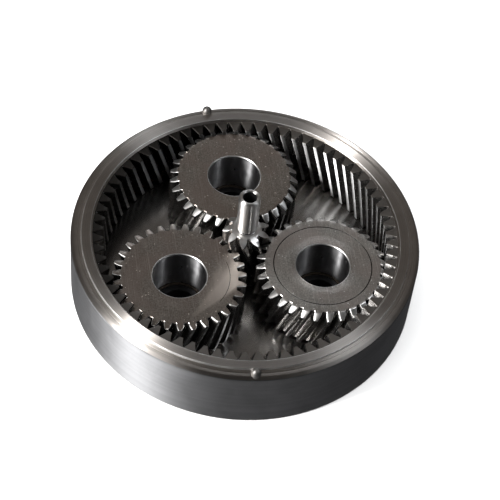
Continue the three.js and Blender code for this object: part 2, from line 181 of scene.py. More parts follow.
class Builder:
    """Collects vertices and faces, ring by ring."""

    def __init__(self):
        self.points = []
        self.faces = []

    def ring(self, points):
        start = len(self.points)
        self.points.extend(points)
        return list(range(start, len(self.points)))

    def circle(self, radius, z, angles):
        return self.ring([(*polar(radius, a), z) for a in angles])

    def bridge(self, first, second):
        count = len(first)
        for i in range(count):
            j = (i + 1) % count
            self.faces.append((first[i], first[j], second[j], second[i]))

    def cap(self, ring, z):
        """Closes a ring with a fan to a point on the axis."""
        pole = self.ring([(0, 0, z)])[0]
        for i, vertex in enumerate(ring):
            self.faces.append((vertex, ring[(i + 1) % len(ring)], pole))

    def sweep(self, ring, profile, angles):
        """Revolves a profile on from a ring; a last radius of 0 closes it on the axis."""
        for radius, z in profile:
            if radius == 0:
                self.cap(ring, z)
                return None
            following = self.circle(radius, z, angles)
            self.bridge(ring, following)
            ring = following
        return ring

    def object(self, name, centre=(0, 0)):
        mesh = bpy.data.meshes.new(name)
        mesh.from_pydata(self.points, [], self.faces)
        made = smooth_piece(name, welded(mesh))
        made.location = (*centre, 0)
        return made


def rounded(profile, radius, closed=True):
    """The profile with each corner turned into an arc; a third value in a point sets its radius."""
    count = len(profile)
    made = []
    for i, point in enumerate(profile):
        here = Vector(point[:2])
        wanted = point[2] if len(point) > 2 else radius
        inner = closed or 0 < i < count - 1
        if not inner or wanted == 0:
            made.append((here.x, here.y))
            continue
        before = Vector(profile[i - 1][:2]) - here
        after = Vector(profile[(i + 1) % count][:2]) - here
        reach = min(wanted, 0.45 * before.length, 0.45 * after.length)
        start = here + before.normalized() * reach
        end = here + after.normalized() * reach
        for step in range(CORNER_STEPS + 1):
            t = step / CORNER_STEPS
            bend = start * (1 - t) ** 2 + here * 2 * t * (1 - t) + end * t**2
            made.append((bend.x, bend.y))
    return made


def turned(name, profile, radius, segments, centre=(0, 0)):
    """A closed profile of (radius, z) points revolved into a ring-shaped piece."""
    builder = Builder()
    angles = spread(segments)
    outline = rounded(profile, radius)
    first = builder.circle(*outline[0], angles)
    last = builder.sweep(first, outline[1:], angles)
    builder.bridge(last, first)
    return builder.object(name, centre)


def turned_solid(name, profile, segments, centre):
    """A profile that starts and ends on the axis, revolved into a solid piece. A point without
    a third value stays sharp."""
    builder = Builder()
    angles = spread(segments)
    outline = rounded(profile, 0, closed=False)
    first = builder.circle(*outline[1], angles)
    builder.cap(first, outline[0][1])
    builder.sweep(first, outline[2:], angles)
    return builder.object(name, centre)


# -------------------- tooth geometry


def involute(angle):
    return tan(angle) - angle


TRANSVERSE_MODULE = MODULE / cos(HELIX)
TRANSVERSE_PRESSURE = atan(tan(PRESSURE) / cos(HELIX))


def shift_for_centre_distance(teeth):
    """Profile-shift sum or difference that lets two gears mesh at the centre distance."""
    reference = teeth * TRANSVERSE_MODULE / 2
    working = acos(reference * cos(TRANSVERSE_PRESSURE) / CENTRE_DISTANCE)
    return (involute(working) - involute(TRANSVERSE_PRESSURE)) * teeth / (2 * tan(PRESSURE))


PLANET_SHIFT = shift_for_centre_distance(SUN_TEETH + PLANET_TEETH) - SUN_SHIFT
RING_SHIFT = shift_for_centre_distance(RING_TEETH - PLANET_TEETH) + PLANET_SHIFT


FILLET = 0.28 * MM  # round at the foot of a tooth
TIP_ROUND = 0.09 * MM  # round on the corners of its crest
PLANET_TIP_ROUND = 0.16 * MM


class Gear:
    """Radii of a gear. The ring's tooth space is treated as an external tooth."""

    def __init__(self, teeth, shift, crest, root, hand=1, inside=False, tip_round=TIP_ROUND):
        self.teeth = teeth
        self.shift = shift
        self.inside = inside
        self.tip_round = tip_round
        self.reference = teeth * TRANSVERSE_MODULE / 2
        self.base = self.reference * cos(TRANSVERSE_PRESSURE)
        self.crest = self.reference + (shift + crest) * MODULE
        self.root = self.reference + (shift - root) * MODULE
        self.twist = hand * tan(HELIX) / self.reference
        self.relief = -BACKLASH if inside else BACKLASH

    def half_angle(self, radius):
        pressure = acos(min(1, self.base / radius))
        at_reference = (pi / 2 + 2 * self.shift * tan(PRESSURE)) / self.teeth
        return at_reference + involute(TRANSVERSE_PRESSURE) - involute(pressure) - self.relief / radius


SUN = Gear(SUN_TEETH, SUN_SHIFT, ADDENDUM, DEDENDUM, hand=-1)
PLANET = Gear(PLANET_TEETH, PLANET_SHIFT, ADDENDUM, DEDENDUM, tip_round=PLANET_TIP_ROUND)
RING_SPACE = Gear(RING_TEETH, RING_SHIFT, RING_DEDENDUM, ADDENDUM, inside=True)

EDGE = 0.09 * MM  # bevel between a tooth's flank and its end
PLANET_EDGE = 0.15 * MM
FLANK_STEPS = 7
ARC_STEPS = 3
ROOT_SHARE = 0.03  # least share of the gap's half width that stays between its two fillets
CREST_SHARE = 0.15  # least share of the tooth's half width that stays between its tip rounds


def half_tooth(gear):
    """(radius, angle) from the middle of a gap to the middle of a crest, and the index of the
    last point before the flank starts and of the last one on it."""
    low_round = gear.tip_round if gear.inside else FILLET
    high_round = FILLET if gear.inside else gear.tip_round
    foot = gear.half_angle(gear.root + low_round)
    pitch = pi / gear.teeth
    foot_start = min(foot + low_round / gear.root, pitch + ROOT_SHARE * (foot - pitch))
    points = [(gear.root, pitch), (gear.root, (pitch + foot_start) / 2)]
    for step in range(ARC_STEPS):
        t = step / ARC_STEPS
        radius = gear.root + low_round * t**2
        points.append((radius, foot_start + (foot - foot_start) * (2 * t - t**2)))
    low_index = len(points)
    top = gear.crest - high_round
    for step in range(FLANK_STEPS + 1):
        radius = gear.root + low_round + (top - gear.root - low_round) * step / FLANK_STEPS
        points.append((radius, gear.half_angle(radius)))
    high_index = len(points) - 1
    start = gear.half_angle(top)
    crest_angle = max(start - high_round / gear.crest, CREST_SHARE * start)
    for step in range(1, ARC_STEPS + 1):
        t = step / ARC_STEPS
        radius = top + high_round * (2 * t - t**2)
        points.append((radius, start + (crest_angle - start) * t**2))
    points.append((gear.crest, 0.0))
    return points, low_index, high_index


def tooth_outline(gear, phase):
    """The whole outline, the number of points per tooth, and the indices from half_tooth."""
    half, low_index, high_index = half_tooth(gear)
    pitch = TAU / gear.teeth
    period = [(radius, -angle) for radius, angle in half]
    period += [(radius, angle) for radius, angle in reversed(half[1:-1])]
    outline = []
    for tooth in range(gear.teeth):
        centre = phase + tooth * pitch
        outline += [(radius, centre + angle) for radius, angle in period]
    return outline, len(period), low_index, high_index


def inset(outline, amount):
    """The closed outline moved towards its inside by an amount, as (radius, angle)."""
    flat = [Vector(polar(r, a)) for r, a in outline]
    made = []
    for i, point in enumerate(flat):
        before = (point - flat[i - 1]).normalized()
        after = (flat[(i + 1) % len(flat)] - point).normalized()
        along = (before + after).normalized()
        moved = point + Vector((-along.y, along.x)) * amount
        angle = outline[i][1]
        turn = (atan2(moved.y, moved.x) - angle + pi) % TAU - pi
        made.append((moved.length, angle + turn))
    return made


class Toothing:
    """Side walls and end faces of a gear's teeth, added to a builder.

    `low` and `high` give the height of the end face at a radius. After it is made, `bottom` and
    `top` are the circles of vertices where the rest of the gear joins on, and `bottom_angles`
    and `top_angles` their angles.
    """

    def __init__(self, builder, gear, phase, low, high, join_radius, slices, edge=EDGE):
        self.builder = builder
        self.edge = edge
        self.gear = gear
        self.outline, self.period, low_index, high_index = tooth_outline(gear, phase)
        self.base_index = high_index if gear.inside else low_index
        self.join_radius = join_radius
        walls = [self.level(low, high, step / slices) for step in range(slices + 1)]
        for first, second in zip(walls, walls[1:]):
            builder.bridge(first, second)
        rim = inset(self.outline, -edge if gear.inside else edge)
        self.bottom, self.bottom_angles = self.end_face(rim, low, walls[0])
        self.top, self.top_angles = self.end_face(rim, high, walls[-1])

    def close(self, profile):
        """Revolves the rest of a ring-shaped gear from its upper end face round to its lower."""
        last = self.builder.sweep(self.top, profile, evened(self.top_angles))
        self.builder.bridge(last, self.bottom)

    def place(self, radius, angle, z):
        return (*polar(radius, angle + self.gear.twist * (z - MESH_PLANE)), z)

    def level(self, low, high, t):
        """The outline at a share t of the way up the side walls."""
        points = []
        for radius, angle in self.outline:
            bottom = low(radius) + self.edge
            top = high(radius) - self.edge
            points.append(self.place(radius, angle, bottom + (top - bottom) * t))
        return self.builder.ring(points)

    def end_face(self, rim, height, wall):
        builder = self.builder
        face = builder.ring([self.place(r, a, height(r)) for r, a in rim])
        builder.bridge(wall, face)
        chain = self.chain()
        join_z = height(self.join_radius)
        angles = [rim[i][1] + self.gear.twist * (join_z - MESH_PLANE) for i in chain]
        circle = builder.circle(self.join_radius, join_z, angles)
        builder.bridge([face[i] for i in chain], circle)
        for tooth in range(self.gear.teeth):
            for left, right in self.ladder(tooth * self.period):
                quad = (left[0], left[1], right[1], right[0])
                corners = dict.fromkeys(face[index % len(face)] for index in quad)
                builder.faces.append(tuple(corners))
        return circle, angles

    def chain(self):
        """Outline points that face the body of the gear, in order round it."""
        picked = []
        for i in range(len(self.outline)):
            from_gap = min(i % self.period, self.period - i % self.period)
            if from_gap == self.base_index or (from_gap > self.base_index) == self.gear.inside:
                picked.append(i)
        return picked

    def ladder(self, start):
        """Pairs of neighbouring points, left and right, that a tooth's end face spans."""
        if self.gear.inside:
            steps, opposite = range(self.base_index), start
        else:
            steps, opposite = range(self.base_index, self.period // 2), start + self.period
        for j in steps:
            yield (start + j, start + j + 1), (opposite - j, opposite - j - 1)


def evened(angles):
    """As many angles as given, spread evenly, so that round walls shade without streaks."""
    step = TAU / len(angles)
    phase = sum(angle - step * i for i, angle in enumerate(angles)) / len(angles)
    return [phase + step * i for i in range(len(angles))]


def bevelled(gear, start, height, drop):
    """Height of the tooth ends at a radius: level up to the start, then `drop` lower at the crest."""
    return lambda radius: height - drop * max(0.0, radius - start) / (gear.crest - start)


# -------------------- gears

CRISP = 0.05 * MM  # rounds on turned corners
BROKEN = 0.1 * MM
SOFT = 0.15 * MM

RING_CREST_DROP = 1.0 * MM  # the ring's upper tooth ends under its top, at the teeth's crests
RING_ROOT_DROP = 0.7 * MM  # and at their roots
RING_JOIN = RING_SPACE.crest + 0.2 * MM  # where the toothing joins the turned body
SHOULDER_SCORE_RADIUS = 43.25 * MM  # fine turned line in the shoulder
SHOULDER_SCORE = 0.15 * MM  # its depth and half its width
RIM_BEVEL = 0.8 * MM
FOOT_BEVEL = 0.4 * MM
COUNTERBORE_BEVEL = 0.3 * MM


def ring_top(radius):
    """Height of the ring's upper tooth ends, which fall a little towards the crests."""
    span = (radius - RING_SPACE.root) / (RING_SPACE.crest - RING_SPACE.root)
    return RING_HEIGHT - RING_CREST_DROP + (RING_CREST_DROP - RING_ROOT_DROP) * span


def ring_gear():
    builder = Builder()
    toothing = Toothing(builder, RING_SPACE, FIRST_PLANET_ANGLE, lambda r: COUNTERBORE_TOP,
                        ring_top, RING_JOIN, slices=12)
    clip_bottom = CLIP_LOW.z - RUNNING_GAP
    clip_top = CLIP_HIGH.z + RUNNING_GAP
    profile = rounded([
        (RING_JOIN, ring_top(RING_JOIN), 0),
        (LAND_INNER_RADIUS, RING_HEIGHT, 0.12 * MM),
        (LAND_OUTER_RADIUS, RING_HEIGHT, 0.12 * MM),
        (LAND_OUTER_RADIUS + 0.2 * MM, SHOULDER_HEIGHT, BROKEN),
        (SHOULDER_SCORE_RADIUS - SHOULDER_SCORE, SHOULDER_HEIGHT, CRISP),
        (SHOULDER_SCORE_RADIUS, SHOULDER_HEIGHT - SHOULDER_SCORE, CRISP),
        (SHOULDER_SCORE_RADIUS + SHOULDER_SCORE, SHOULDER_HEIGHT, CRISP),
        (RING_RADIUS - RIM_BEVEL, SHOULDER_HEIGHT, 0.2 * MM),
        (RING_RADIUS, SHOULDER_HEIGHT - RIM_BEVEL, 0.3 * MM),
        (RING_RADIUS, FOOT_BEVEL, 0.2 * MM),
        (RING_RADIUS - FOOT_BEVEL, 0, SOFT),
        (COUNTERBORE_RADIUS + COUNTERBORE_BEVEL, 0, BROKEN),
        (COUNTERBORE_RADIUS, COUNTERBORE_BEVEL, CRISP),
        (COUNTERBORE_RADIUS, clip_bottom, CRISP),
        (CLIP_GROOVE_RADIUS, clip_bottom, CRISP),
        (CLIP_GROOVE_RADIUS, clip_top, CRISP),
        (COUNTERBORE_RADIUS, clip_top, CRISP),
        (COUNTERBORE_RADIUS, COUNTERBORE_TOP, CRISP),
        (RING_JOIN, COUNTERBORE_TOP, 0),
    ], 0, closed=False)
    toothing.close(profile[1:-1])
    return stand_for(builder.object("ring_gear_fine"), "ring_gear", "ring")


PLANET_BEVEL_DROP = 1.3 * MM  # fall of a planet's tooth ends from where their bevel starts
PLANET_BEVEL_START = PLANET.root + 0.1 * MM
PLANET_JOIN = PLANET.root - 0.35 * MM
BORE_BEVEL = 0.2 * MM
WORN_PLANET_WITH_PAINTED_LIGHT = 2  # its upper tooth ends are ground flush, all its tooth ends are dark as painted shade, and its face carries painted reflections
FLUSH_BEVEL_DROP = 0.15 * MM
SCORED_PLANET = 3  # the one with a line turned in its upper face
FACE_SCORE_RADIUS = 12.6 * MM
SCORE_WIDTH = 0.26 * MM


def planet_gear(k):
    axis = PLANET_AXES[k]
    turned_by = (atan2(axis.y, axis.x) - FIRST_PLANET_ANGLE) % TAU
    phase = FIRST_PLANET_ANGLE + turned_by - turned_by * RING_TEETH / PLANET_TEETH
    upper_drop = FLUSH_BEVEL_DROP if k == WORN_PLANET_WITH_PAINTED_LIGHT else PLANET_BEVEL_DROP
    low = bevelled(PLANET, PLANET_BEVEL_START, PLANET_BOTTOM, -PLANET_BEVEL_DROP)
    high = bevelled(PLANET, PLANET_BEVEL_START, PLANET_TOP, upper_drop)
    builder = Builder()
    toothing = Toothing(builder, PLANET, phase, low, high, PLANET_JOIN, slices=10, edge=PLANET_EDGE)
    score = [
        (FACE_SCORE_RADIUS + SCORE_WIDTH / 2, PLANET_TOP, 0.03 * MM),
        (FACE_SCORE_RADIUS, PLANET_TOP - SCORE_WIDTH, 0.03 * MM),
        (FACE_SCORE_RADIUS - SCORE_WIDTH / 2, PLANET_TOP, 0.03 * MM),
    ]
    profile = rounded([
        (PLANET_JOIN, PLANET_TOP, 0),
        *(score if k == SCORED_PLANET else []),
        (PLANET_BORE + BORE_BEVEL, PLANET_TOP, 0.06 * MM),
        (PLANET_BORE, PLANET_TOP - BORE_BEVEL, BROKEN),
        (PLANET_BORE, PLANET_BOTTOM + BORE_BEVEL, BROKEN),
        (PLANET_BORE + BORE_BEVEL, PLANET_BOTTOM, 0.06 * MM),
        (PLANET_JOIN, PLANET_BOTTOM, 0),
    ], 0, closed=False)
    toothing.close(profile[1:-1])
    made = builder.object(f"planet_gear_{k}_fine", axis)
    return stand_for(made, f"planet_gear_{k}", f"planet_{k}")


SUN_BEVEL_START = SUN.root - 0.4 * MM
SUN_JOIN = SUN.root - 0.38 * MM
SUN_TOP_DROP = 1.2 * MM  # fall of the pinion's tooth ends
SUN_BOTTOM_DROP = 0.6 * MM
SHAFT_END_BEVEL = 0.35 * MM
SHAFT_CENTRE_BEVEL = 0.3 * MM
SPIGOT_BEVEL = 0.3 * MM


def sun_pinion():
    low = bevelled(SUN, SUN_BEVEL_START, PLANET_BOTTOM, -SUN_BOTTOM_DROP)
    high = bevelled(SUN, SUN_BEVEL_START, SUN_GEAR_TOP, SUN_TOP_DROP)
    builder = Builder()
    toothing = Toothing(builder, SUN, FIRST_PLANET_ANGLE, low, high, SUN_JOIN, slices=24)
    neck_top = SUN_GEAR_TOP + SHAFT_NECK_HEIGHT
    shaft_top = SUN_HIGH.z
    centre_floor = shaft_top - SHAFT_CENTRE_DEPTH
    upper = rounded([
        (SUN_JOIN, SUN_GEAR_TOP, 0),
        (SHAFT_NECK_RADIUS, SUN_GEAR_TOP, 0.25 * MM),
        (SHAFT_NECK_RADIUS, neck_top, SOFT),
        (SHAFT_RADIUS, neck_top, 0.08 * MM),
        (SHAFT_RADIUS, shaft_top - SHAFT_END_BEVEL, BROKEN),
        (SHAFT_RADIUS - SHAFT_END_BEVEL, shaft_top, 0.08 * MM),
        (SHAFT_CENTRE_RADIUS + 0.2 * MM, shaft_top, 0.08 * MM),
        (SHAFT_CENTRE_RADIUS, shaft_top - SHAFT_CENTRE_BEVEL, 0.08 * MM),
        (SHAFT_CENTRE_RADIUS, centre_floor, BROKEN),
        (0, centre_floor - 1 * MM, 0),
    ], 0, closed=False)
    builder.sweep(toothing.top, upper[1:], evened(toothing.top_angles))
    lower = rounded([
        (SUN_JOIN, PLANET_BOTTOM, 0),
        (SPIGOT_RADIUS, PLANET_BOTTOM, SOFT),
        (SPIGOT_RADIUS, SUN_LOW.z + SPIGOT_BEVEL, 0.08 * MM),
        (SPIGOT_RADIUS - SPIGOT_BEVEL, SUN_LOW.z, 0.08 * MM),
        (0, SUN_LOW.z, 0),
    ], 0, closed=False)
    builder.sweep(toothing.bottom, lower[1:], evened(toothing.bottom_angles))
    made = builder.object("sun_pinion_shaft_fine")
    return stand_for(made, "sun_pinion_shaft", "sun")


# -------------------- turned pieces


def planet_pin(k):
    seat = WASHER_LOW.z
    floor = PIN_LOW.z + PIN_FLOOR
    profile = [
        (0, PIN_LOW.z),
        (PIN_SHANK_RADIUS, PIN_LOW.z, 0.2 * MM),
        (PIN_SHANK_RADIUS, seat, CRISP),
        (PIN_JOURNAL_RADIUS, seat, BROKEN),
        (PIN_JOURNAL_RADIUS, PIN_HIGH.z, 0.35 * MM),
        (PIN_BORE_RADIUS, PIN_HIGH.z, 0.3 * MM),
        (PIN_BORE_RADIUS, floor, 0.3 * MM),
        (0, floor - PIN_CONE_DEPTH),
    ]
    made = turned_solid(f"planet_pin_{k}_fine", profile, SMALL_SEGMENTS, PLANET_AXES[k])
    return stand_for(made, f"planet_pin_{k}", "carrier")


def plain_ring(node, body, inner, outer, low, high, corner,
               segments=SMALL_SEGMENTS, centre=(0, 0)):
    """A ring of rectangular section between two heights."""
    profile = [(inner, low.z), (outer, low.z), (outer, high.z), (inner, high.z)]
    made = turned(f"{node}_fine", profile, corner, segments, centre)
    return stand_for(made, node, body)


def planet_bush(k):
    return plain_ring(f"planet_bush_{k}", "carrier", PIN_JOURNAL_RADIUS + RUNNING_GAP,
                      PLANET_BORE - RUNNING_GAP, BUSH_LOW, BUSH_HIGH, 0.2 * MM, centre=PLANET_AXES[k])


def thrust_washer(k):
    outer = (WASHER_HIGH.x - WASHER_LOW.x) / 2
    return plain_ring(f"thrust_washer_{k}", "carrier", PIN_JOURNAL_RADIUS + RUNNING_GAP,
                      outer, WASHER_LOW, WASHER_HIGH, BROKEN, centre=PLANET_AXES[k])


def sun_support(node, low, high):
    return plain_ring(node, "carrier", SPIGOT_RADIUS + RUNNING_GAP, high.x, low, high, BROKEN)


def carrier_liner():
    return plain_ring("carrier_liner", "ring", LINER_HIGH.x - LINER_THICKNESS,
                      LINER_HIGH.x, LINER_LOW, LINER_HIGH, SOFT, ROUND_SEGMENTS)


def rim_dowel(side):
    low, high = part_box(f"rim_dowel_{side}")
    centre = ((low.x + high.x) / 2, (low.y + high.y) / 2)
    radius = (high.x - low.x) / 2
    profile = [(0, low.z), (radius, low.z)]
    for step in range(DOME_STEPS):
        profile.append(polar(radius, pi / 2 * step / DOME_STEPS, (0, high.z - radius)))
    profile.append((0, high.z))
    made = turned_solid(f"rim_dowel_{side}_fine", profile, 48, centre)
    return stand_for(made, f"rim_dowel_{side}", "ring")


def flat_plate(name, outlines, low, high, bevel):
    """A plate of even thickness from closed outlines of (x, y) points; all but the first are holes."""
    curve = bpy.data.curves.new(name, "CURVE")
    curve.dimensions = "2D"
    curve.fill_mode = "BOTH"
    curve.extrude = (high - low) / 2 - bevel
    curve.bevel_depth = bevel
    curve.bevel_resolution = 2
    curve.offset = -bevel
    for outline in outlines:
        spline = curve.splines.new("POLY")
        spline.points.add(len(outline) - 1)
        for point, (x, y) in zip(spline.points, outline):
            point.co = (x, y, 0, 1)
        spline.use_cyclic_u = True
    source = linked(name, curve)
    bpy.context.view_layer.update()
    work = welded(bpy.data.meshes.new_from_object(source), CURVE_WELD_DISTANCE)
    bpy.data.objects.remove(source)
    bmesh.ops.translate(work, vec=(0, 0, (low + high) / 2), verts=work.verts)
    return smooth_piece(name, work)


def drilled_disc(name, edge, holes, bevel):
    """A flat disc with round through holes. `edge` holds (radius, z) points from the rim of its
    upper face to the rim of its lower face, and `holes` (radius, centre) pairs."""
    work = bmesh.new()
    upper, lower = edge[0][1], edge[-1][1]
    profiles = [(edge, (0, 0), ROUND_SEGMENTS)]
    for radius, centre in holes:
        wall = [(radius + bevel, upper), (radius, upper - bevel), (radius, lower + bevel),
                (radius + bevel, lower)]
        profiles.append((wall, centre, SMALL_SEGMENTS))
    rims = {0: [], -1: []}
    for profile, centre, segments in profiles:
        rings = [[work.verts.new((*polar(radius, a, centre), z)) for a in spread(segments)]
                 for radius, z in profile]
        for first, second in zip(rings, rings[1:]):
            for i in range(segments):
                j = (i + 1) % segments
                work.faces.new((first[i], first[j], second[j], second[i]))
        for end, edges in rims.items():
            ring = rings[end]
            edges += [work.edges.get((ring[i - 1], ring[i])) for i in range(segments)]
    for edges in rims.values():
        bmesh.ops.triangle_fill(work, use_beauty=True, use_dissolve=False, edges=edges)
    return smooth_piece(name, work)


def carrier_plate():
    edge = rounded([
        (CARRIER_HIGH.x - 1 * MM, CARRIER_HIGH.z),
        (CARRIER_HIGH.x, CARRIER_HIGH.z),
        (CARRIER_HIGH.x, CARRIER_RIM_BOTTOM),
        (OUTPUT_BOSS_RADIUS, CARRIER_RIM_BOTTOM),
        (OUTPUT_BOSS_RADIUS, CARRIER_LOW.z),
        (OUTPUT_BOSS_RADIUS - 1 * MM, CARRIER_LOW.z),
    ], CARRIER_BEVEL, closed=False)
    holes = [(PILOT_HIGH.x + RUNNING_GAP, (0, 0))]
    for k in PLANETS:
        axis = PLANET_AXES[k]
        holes.append((PIN_SHANK_RADIUS + RUNNING_GAP, axis))
        middle = atan2(axis.y, axis.x)
        for side in (-1, 1):
            centre = polar(OUTPUT_HOLE_CIRCLE, middle + side * OUTPUT_HOLE_ANGLE)
            holes.append((OUTPUT_HOLE_RADIUS, centre))
    made = drilled_disc("carrier_plate_fine", edge, holes, CARRIER_BEVEL)
    return stand_for(made, "carrier_plate", "carrier")


CLIP_OPENING = radians(9)
CLIP_WIDTH = 3 * MM
CLIP_BEVEL = 0.08 * MM
CLIP_ARC_STEPS = 200
LUG_RADIUS = 1.7 * MM
LUG_HOLE = 0.7 * MM
LUG_SHIFT = 0.7 * MM
LUG_STEPS = 28
LUG_HOLE_SEGMENTS = 24


def arc(radius, first, last, steps, centre=(0, 0)):
    return [polar(radius, first + (last - first) * i / steps, centre) for i in range(steps + 1)]


def retaining_ring():
    """Circlip: an arc of even width whose ends swell inwards into drilled lugs."""
    outer = CLIP_HIGH.y
    inner = outer - CLIP_WIDTH
    along_end = Vector(polar(1, CLIP_OPENING))
    lug = along_end * inner + Vector((0, LUG_SHIFT))
    to_end = lug.dot(along_end)
    off_end = (lug - along_end * to_end).length
    on_end = along_end * (to_end + sqrt(LUG_RADIUS**2 - off_end**2))
    reach = (inner**2 + lug.length_squared - LUG_RADIUS**2) / (2 * inner * lug.length)
    meets = atan2(lug.y, lug.x) + acos(reach)
    on_inner = Vector(polar(inner, meets))
    first, last = (atan2((p - lug).y, (p - lug).x) % TAU for p in (on_inner, on_end))
    swell = arc(LUG_RADIUS, first, last, LUG_STEPS, lug)
    outline = arc(outer, CLIP_OPENING, TAU - CLIP_OPENING, CLIP_ARC_STEPS)
    outline += [(x, -y) for x, y in reversed(swell)]
    outline += arc(inner, TAU - meets, meets, CLIP_ARC_STEPS)[1:-1]
    outline += swell
    holes = [[polar(LUG_HOLE, a, (lug.x, side * lug.y)) for a in spread(LUG_HOLE_SEGMENTS)]
             for side in (-1, 1)]
    made = flat_plate("carrier_retaining_ring_fine", [outline, *holes], CLIP_LOW.z, CLIP_HIGH.z,
                      CLIP_BEVEL)
    return stand_for(made, "carrier_retaining_ring", "ring")


ring = ring_gear()
planets = {k: planet_gear(k) for k in PLANETS}
sun = sun_pinion()
pins = [planet_pin(k) for k in PLANETS]
bushes = [planet_bush(k) for k in PLANETS]
washers = [thrust_washer(k) for k in PLANETS]
pilot = sun_support("sun_pilot_bush", PILOT_LOW, PILOT_HIGH)
sun_washer = sun_support("sun_thrust_washer", SUN_WASHER_LOW, SUN_WASHER_HIGH)
liner = carrier_liner()
dowels = [rim_dowel(side) for side in ("rear", "front")]
carrier = carrier_plate()
clip = retaining_ring()


# -------------------- materials

GROOVE_TURN = 0.25  # turns the stretched highlight across the lathe grooves
SCRATCH_TURN = 2.4  # from one direction of scratches to the next, in radians
SCRATCH_STRETCH = 0.006  # a scratch's width over its length

REFLECTION_BAND_AZIMUTH = radians(-28)  # the band of painted reflection on one planet's face
REFLECTION_BAND_DISTANCE = 8.7 * MM
WEDGE_TIP = (-0.2 * MM, -14.7 * MM)  # and the wedge of brushed streaks and painted reflection on it
WEDGE_SIDES = (radians(34), radians(50))
WEDGE_REACH = 20 * MM
WEDGE_STREAK_TURN = radians(49)
SCRIBE_RADIUS = 12.8 * MM  # and the line scribed round it
SCRIBE_HALF_WIDTH = 0.07 * MM
SCRIBE_ENDS = (radians(-45), radians(15))
FAN_RADIUS = 9.8 * MM  # the deeper rings round the scored planet's bore end there
FAN_PITCH = 0.16 * MM
FAN_DEPTH = 0.12 * MM
# painted shade over the ring's teeth on the side away from the light
SIDE_SHADE_AZIMUTH = radians(150)
SIDE_SHADE_EDGE = (0.4, 0.62)  # share of the ring's radius where the painted shade starts and is full


class Nodes:
    """Adds nodes to a node tree. What goes into an input is a socket or a plain value."""

    def __init__(self, tree):
        self.tree = tree

    def node(self, kind, inputs=(), **settings):
        """A new node; `inputs` holds (name or number, socket or value) pairs."""
        made = self.tree.nodes.new(kind)
        for name, value in settings.items():
            setattr(made, name, value)
        for name, value in inputs:
            self.feed(made.inputs[name], value)
        return made

    def feed(self, target, value):
        if isinstance(value, bpy.types.NodeSocket):
            self.tree.links.new(value, target)
        else:
            target.default_value = value

    def maths(self, operation, *values):
        return self.node("ShaderNodeMath", enumerate(values), operation=operation).outputs[0]

    def times(self, first, second):
        return self.maths("MULTIPLY", first, second)

    def plus(self, first, second):
        return self.maths("ADD", first, second)

    def split(self, vector):
        return list(self.node("ShaderNodeSeparateXYZ", [(0, vector)]).outputs)

    def dot(self, parts, others):
        """Sum of the products of the parts of two vectors."""
        total, *rest = [self.times(part, other) for part, other in zip(parts, others)]
        for product in rest:
            total = self.plus(total, product)
        return total

    def length(self, x, y):
        return self.maths("SQRT", self.dot((x, y), (x, y)))

    def ramp(self, value, stops):
        """Colours or grey levels that go with positions from 0 to 1."""
        made = self.node("ShaderNodeValToRGB", [("Fac", value)])
        band = made.color_ramp
        while len(band.elements) < len(stops):
            band.elements.new(0.5)
        for element, (position, level) in zip(band.elements, stops):
            element.position = position
            colour = level if isinstance(level, tuple) else (level, level, level)
            element.color = (*colour, 1)
        return made.outputs["Color"]


